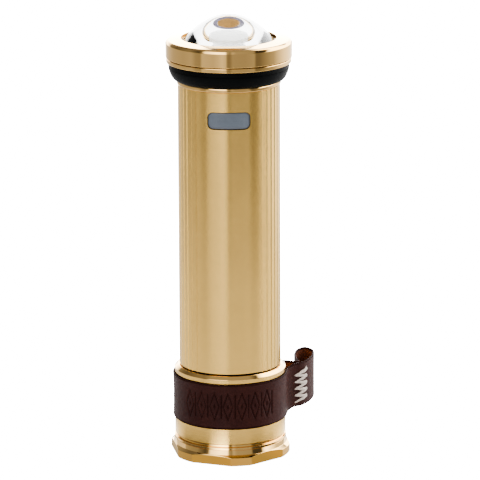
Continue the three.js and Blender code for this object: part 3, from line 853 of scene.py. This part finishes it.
def make_strap():
    """One closed ribbon of leather with rounded edges, tooled on its front and a little wavy."""
    middle = (STRAP_LOW + STRAP_HIGH) / 2
    half_width = (STRAP_HIGH - STRAP_LOW) / 2
    path = [Vector((p.x, p.y, middle)) for p in spline(strap_path(), 0.25, closed=True)]
    inside_start = ACROSS_STEPS + 1 + 2 * len(EDGE)
    inside_end = inside_start + len(INSIDE_HEIGHTS) - 1
    size = inside_end + 1 + 2 * len(EDGE)
    tooled = set()

    def section(i):
        point = path[i]
        radius = math.hypot(point.x, point.y)
        on_band = radius < TAB_START_R
        rise = TAB_RISE * min(1.0, max(0.0, (radius - TAB_START_R) / TAB_RISE_REACH))
        wave = 0.12 * noise.noise(Vector((point.x, point.y, 0)) * 0.16) + 0.05 * noise.noise(point * 0.5)
        reach = half_width + wave
        curl = BAND_CURL if on_band else TAB_CURL
        face = []
        for k in range(ACROSS_STEPS + 1):
            height = FACE_REACH * (2 * k / ACROSS_STEPS - 1)
            pressed = strap_emboss(point, height * half_width) if on_band else 0.0
            if k < ACROSS_STEPS and pressed > TOOLED_DEPTH:
                tooled.add(i * size + k)
            face.append((HALF_THICKNESS + curl * height ** 4 - pressed, height * reach))
        top = [(HALF_THICKNESS * depth + curl, height * reach) for depth, height in reversed(EDGE)]
        top += [(-HALF_THICKNESS * depth + curl, height * reach) for depth, height in EDGE]
        inside = [(-HALF_THICKNESS + curl * INSIDE_CURL_SHARE * height ** 4, height * reach)
                  for height in INSIDE_HEIGHTS]
        bottom = [(x, -z) for x, z in reversed(top)]
        return [(x, z + rise) for x, z in face + top + inside + bottom]

    bm = sweep_mesh(path, section, closed=True)
    grain, flesh, edge = range(3)
    for index, leather_face in enumerate(bm.faces):
        place = index % size
        if place < ACROSS_STEPS:
            leather_face.material_index = edge if index in tooled else grain
        else:
            leather_face.material_index = flesh if inside_start <= place < inside_end else edge
    put_mesh("leather_strap", bm, "leather", "strap", ["leather_strap"],
             more_materials=["leather_flesh", "leather_edge"], smooth_angle=60)


# ---- Stitching ----
STITCH_HOLES = 5
STITCH_TOP = 26.3
STITCH_PITCH = 2.42
STITCH_CORNERS = 14
NEAR_HOLES = Vector((22.1, 4.55, 0))
FAR_HOLES = Vector((25.9, 8.3, 0))
# A leg's course from the near holes (0) to the far holes (1), and its lift over the leather's middle.
LEG_COURSE = [
    (0.0, 0.1), (0.02, 0.45), (0.15, 0.6), (0.4, 0.7), (0.7, 0.78), (0.93, 0.72), (1.0, 0.4), (1.02, 0.1),
]
NEAR_DROP = 1.2
FAR_RISE = 0.5
THIN_END = 0.25
FAT_END = 0.5
FIRST_FAT_END = 0.62
PLIES = 3
PLY_BULGE = 0.13
PLY_TURN = 0.3
LAID_FLAT = 0.62


def stitch_section(number, last):
    """The thread's section along one leg: three twisted plies, thin at the near holes."""
    fat = FIRST_FAT_END if number == 0 else FAT_END

    def section(i):
        size = THIN_END + (fat - THIN_END) * min(1.0, max(0.0, i / last - 0.08) * 2.2)
        twist = i * PLY_TURN + number
        ring = []
        for c in range(STITCH_CORNERS):
            a = TAU * c / STITCH_CORNERS
            ply = size * (1 + PLY_BULGE * math.cos(PLIES * a + twist))
            ring.append((ply * math.cos(a) * LAID_FLAT, ply * math.sin(a)))
        return ring

    return section


def make_stitches():
    """Waxed thread laced to and fro over the seam: straight legs, thick by the loop and thin at the tab."""
    leather_line = spline(strap_path(), 0.34, closed=True)
    near, far = (min(range(len(leather_line)), key=lambda i: (leather_line[i] - holes).length)
                 for holes in (NEAR_HOLES, FAR_HOLES))

    def on_leather(share, lift):
        """A point over the leather's outer face, from the near holes (0) to the far holes (1)."""
        place = near + share * (far - near)
        i = int(place)
        along = (leather_line[i + 1] - leather_line[i]).normalized()
        return leather_line[i].lerp(leather_line[i + 1], place - i) + along.cross(Vector((0, 0, 1))) * lift

    merged = bmesh.new()
    for k in range(2 * STITCH_HOLES - 1):
        near_z = STITCH_TOP - NEAR_DROP - STITCH_PITCH * (k // 2)
        far_z = STITCH_TOP + FAR_RISE - STITCH_PITCH * ((k + 1) // 2)
        path = spline([on_leather(share, lift) + Vector((0, 0, near_z + (far_z - near_z) * share))
                       for share, lift in LEG_COURSE], 0.14)
        leg = sweep_mesh(path, stitch_section(k, len(path) - 1))
        mesh = bpy.data.meshes.new("leg")
        leg.to_mesh(mesh)
        leg.free()
        merged.from_mesh(mesh)
        bpy.data.meshes.remove(mesh)
    put_mesh("strap_stitches", merged, "stitch_thread", "strap", ["strap_stitches"], smooth_angle=60)


# ---- Stage: floor and light ----
PEAK = 16.0
FLOOR_GLOW = 16.0
# The floor's glow to the eye inside the painted contact shadow, where ambient occlusion is fullest.
PAINTED_SHADOW_GLOW = 0.3 * FLOOR_GLOW
FLOOR_TONE = 0.42
MIRRORED_TONE = 0.46
SEEN_THROUGH_GLASS = 5.0
FOOT_CARDS_END = (0.0305, 0.032)
NEAR_CARDS_END = (0.0422, 0.0434)
MIRRORED_END = (0.17, 0.42)

# What polished metal sees in the floor close by, by degrees round from the camera's side.
NEAR_CARDS = [
    (-180, 2.0), (-150, 2.5), (-110, 2.2), (-94, 1.3), (-84, 0.35), (-72, 0.2), (-38, 0.14), (-34, 0.3),
    (-29, 2.0), (-20, 5.5), (-12, 8.0), (-4, 6.5), (-2.4, 0.3), (1.2, 0.25), (3.5, 0.85), (9, 0.5),
    (31, 0.48), (35, 0.1), (60, 0.09), (70, 0.14), (76, 0.4), (86, 1.7), (98, 2.6), (122, 3.0), (150, 2.2),
    (180, 2.0),
]

# Warm reflected light right beside the foot of the tail cap, as colours at half strength.
FOOT_CARDS = [
    (-180, (0.40, 0.36, 0.28)), (-62, (0.30, 0.27, 0.20)), (-46, (0.27, 0.235, 0.175)),
    (-42, (0.33, 0.28, 0.155)), (-6, (0.35, 0.285, 0.155)), (-3, (0.39, 0.32, 0.20)),
    (24, (0.38, 0.335, 0.235)), (28, (0.29, 0.24, 0.14)), (46, (0.28, 0.25, 0.15)), (62, (0.38, 0.30, 0.15)),
    (66, (0.38, 0.31, 0.16)), (70, (0.58, 0.53, 0.43)), (180, (0.60, 0.55, 0.45)),
]


def ring_ramp(graph, angle, stops):
    """A colour by degrees round Z, from an angle in radians and (degrees, colour) stops."""
    turn = graph.maths("ADD", graph.maths("DIVIDE", angle, TAU), 0.5)
    return graph.ramp(turn, [(at / 360 + 0.5, color) for at, color in stops])


def ring_levels(graph, angle, levels):
    """A brightness by degrees round Z, as a share of PEAK."""
    return ring_ramp(graph, angle, [(at, grey(level / PEAK)) for at, level in levels])


def floor_material():
    """Pale and evenly bright to the eye, but for a painted contact shadow round the foot. Mirrors see bright
    and dark cards near the foot, then nothing.
    """
    material, g = start_material("floor")
    place = object_vector(g)
    x, y, z = g.node("SeparateXYZ", Vector=place).outputs
    angle = g.turn_angle(x, y)
    distance = g.node("VectorMath", {"operation": "LENGTH"}, Vector=place).outputs["Value"]
    clear = g.node("BsdfTransparent").outputs[0]
    diffuse = g.node("BsdfDiffuse", Color=grey(FLOOR_TONE)).outputs[0]
    bright = g.node("BsdfDiffuse", Color=grey(MIRRORED_TONE)).outputs[0]
    cards = g.node("Emission", Color=ring_levels(g, angle, NEAR_CARDS), Strength=PEAK).outputs[0]
    foot = ring_ramp(g, angle, [(at, (*color, 1)) for at, color in FOOT_CARDS])
    golden = g.node("Emission", Color=foot, Strength=2.0).outputs[0]
    mirrored = g.blend(g.smooth_step(distance, *FOOT_CARDS_END), golden, cards)
    mirrored = g.blend(g.smooth_step(distance, *NEAR_CARDS_END), mirrored, bright)
    mirrored = g.blend(g.smooth_step(distance, *MIRRORED_END), mirrored, clear)
    # Painted contact shadow: ambient occlusion dims the floor's glow to the eye near the foot, instead of a
    # lamp casting it.
    painted_contact_shadow = g.node("AmbientOcclusion", Distance=0.03).outputs["AO"]
    glow_level = g.remap(painted_contact_shadow, PAINTED_SHADOW_GLOW, FLOOR_GLOW)
    glow = g.node("Emission", Color=grey(1.0), Strength=glow_level).outputs[0]
    through = g.node("Emission", Color=grey(1.0), Strength=SEEN_THROUGH_GLASS).outputs[0]
    rays = g.node("LightPath").outputs
    seen = g.blend(rays["Is Glossy Ray"], diffuse, mirrored)
    seen = g.blend(rays["Is Transmission Ray"], seen, through)
    seen = g.blend(rays["Is Camera Ray"], seen, glow)
    side = g.blend(g.node("NewGeometry").outputs["Backfacing"], seen, clear)
    g.tree.links.new(side, g.node("OutputMaterial").inputs[0])
    return material


def make_floor():
    """A plain pale floor, seen from above only."""
    bm = bmesh.new()
    bmesh.ops.create_grid(bm, x_segments=1, y_segments=1, size=6.0)
    mesh = bpy.data.meshes.new("floor")
    bm.to_mesh(mesh)
    bm.free()
    mesh.materials.append(floor_material())
    floor = bpy.data.objects.new("floor", mesh)
    bpy.context.scene.collection.objects.link(floor)
    floor.location.z = -0.0001


# Brightness of the studio by degrees round from the camera's side: near the horizon, and above it.
LOW_PANELS = [
    (-180, 14), (-166, 2.4), (-150, 0.9), (-120, 0.6), (-90, 0.54), (-72, 0.6), (-62, 0.42), (-53, 0.40),
    (-49, 0.76), (-28, 0.7), (-19, 0.82), (-12, 1.0), (-5.5, 0.85), (-2.5, 0.32), (1.5, 0.3), (4, 0.36),
    (7, 0.46), (30, 0.45), (47, 0.52), (51, 0.24), (58, 0.25), (68, 0.36), (90, 0.62), (120, 1.7), (150, 2.2),
    (166, 2.6), (180, 14),
]
HIGH_PANELS = [
    (-180, 15), (-150, 8), (-136, 4.0), (-124, 0.3), (-100, 0.17), (-80, 0.25), (-68, 0.3), (-50, 0.12),
    (-44, 0.25), (-38, 2.6), (-18, 4.2), (-6, 3.6), (-3, 0.6), (2, 0.35), (6, 0.7), (12, 0.5), (41, 0.45),
    (45, 0.09), (64, 0.08), (69, 3.0), (76, 7.0), (120, 8.0), (150, 8), (180, 15),
]
# Elevations in degrees between which one part of the studio gives way to the next.
LOW_TO_HIGH = (-2.5, 7.0)
BACKDROP_TOP = (23.6, 25.2)
CEILING = (58.0, 70.0)
# Degrees round from the camera's side at which the backdrop begins.
BACKDROP_SIDE = (135, 155)
OVERHEAD = 0.45
SHADE_LIGHT = 0.08
FAR_LIGHT = 0.26


def make_world():
    """A studio of tall soft panels round the object, as a function of direction only."""
    world = bpy.data.worlds.new("studio")
    bpy.context.scene.world = world
    world.use_nodes = True
    g = Graph(world.node_tree)
    x, y, z = g.node("SeparateXYZ", Vector=g.node("TexCoord").outputs["Generated"]).outputs
    angle = g.turn_angle(x, y)
    elevation = g.maths("DEGREES", g.maths("ARCSINE", z))
    leaning = g.maths("MULTIPLY", angle, g.remap(g.maths("DIVIDE", elevation, 60.0), 1.0, 0.64))
    low = ring_levels(g, angle, LOW_PANELS)
    high = ring_levels(g, leaning, HIGH_PANELS)
    behind = g.smooth_step(g.maths("ABSOLUTE", angle), *(math.radians(side) for side in BACKDROP_SIDE))
    over_backdrop = g.maths("MULTIPLY", behind, g.smooth_step(elevation, *BACKDROP_TOP))
    overhead = g.maths("MAXIMUM", over_backdrop, g.smooth_step(elevation, *CEILING))
    color = g.mix(g.smooth_step(elevation, *LOW_TO_HIGH), low, high)
    color = g.mix(overhead, color, grey(OVERHEAD / PEAK))
    rays = g.node("LightPath").outputs
    color = g.mix(rays["Is Transmission Ray"], color, grey(SEEN_THROUGH_GLASS / PEAK))
    soft = g.mix(g.maths("MAXIMUM", y, 0.0), grey(SHADE_LIGHT), grey(FAR_LIGHT))
    color = g.mix(rays["Is Diffuse Ray"], color, soft)
    color = g.mix(rays["Is Camera Ray"], color, grey(1.0))
    background = g.node("Background", Color=color, Strength=PEAK)
    g.tree.links.new(background.outputs[0], g.node("OutputWorld").inputs[0])


make_camera()
make_floor()
make_world()
make_bezel()
make_head_body()
make_grip_ring()
make_lens()
make_led()
make_cup_and_reflector()
make_tube()
make_button()
make_collar()
make_tail_cap()
make_strap()
make_stitches()

# The inner pieces keep their CAD shape, each with its own finish.
slots = {row["node"]: row["material_slot"] for row in frame["record"]["subparts"]}
for node, thing in frame["nodes"].items():
    if not thing.hide_render:
        thing.data.materials.clear()
        thing.data.materials.append(materials[slots[node]])

display = bpy.context.scene.view_settings
display.view_transform = "AgX"
display.look = "AgX - Medium High Contrast"
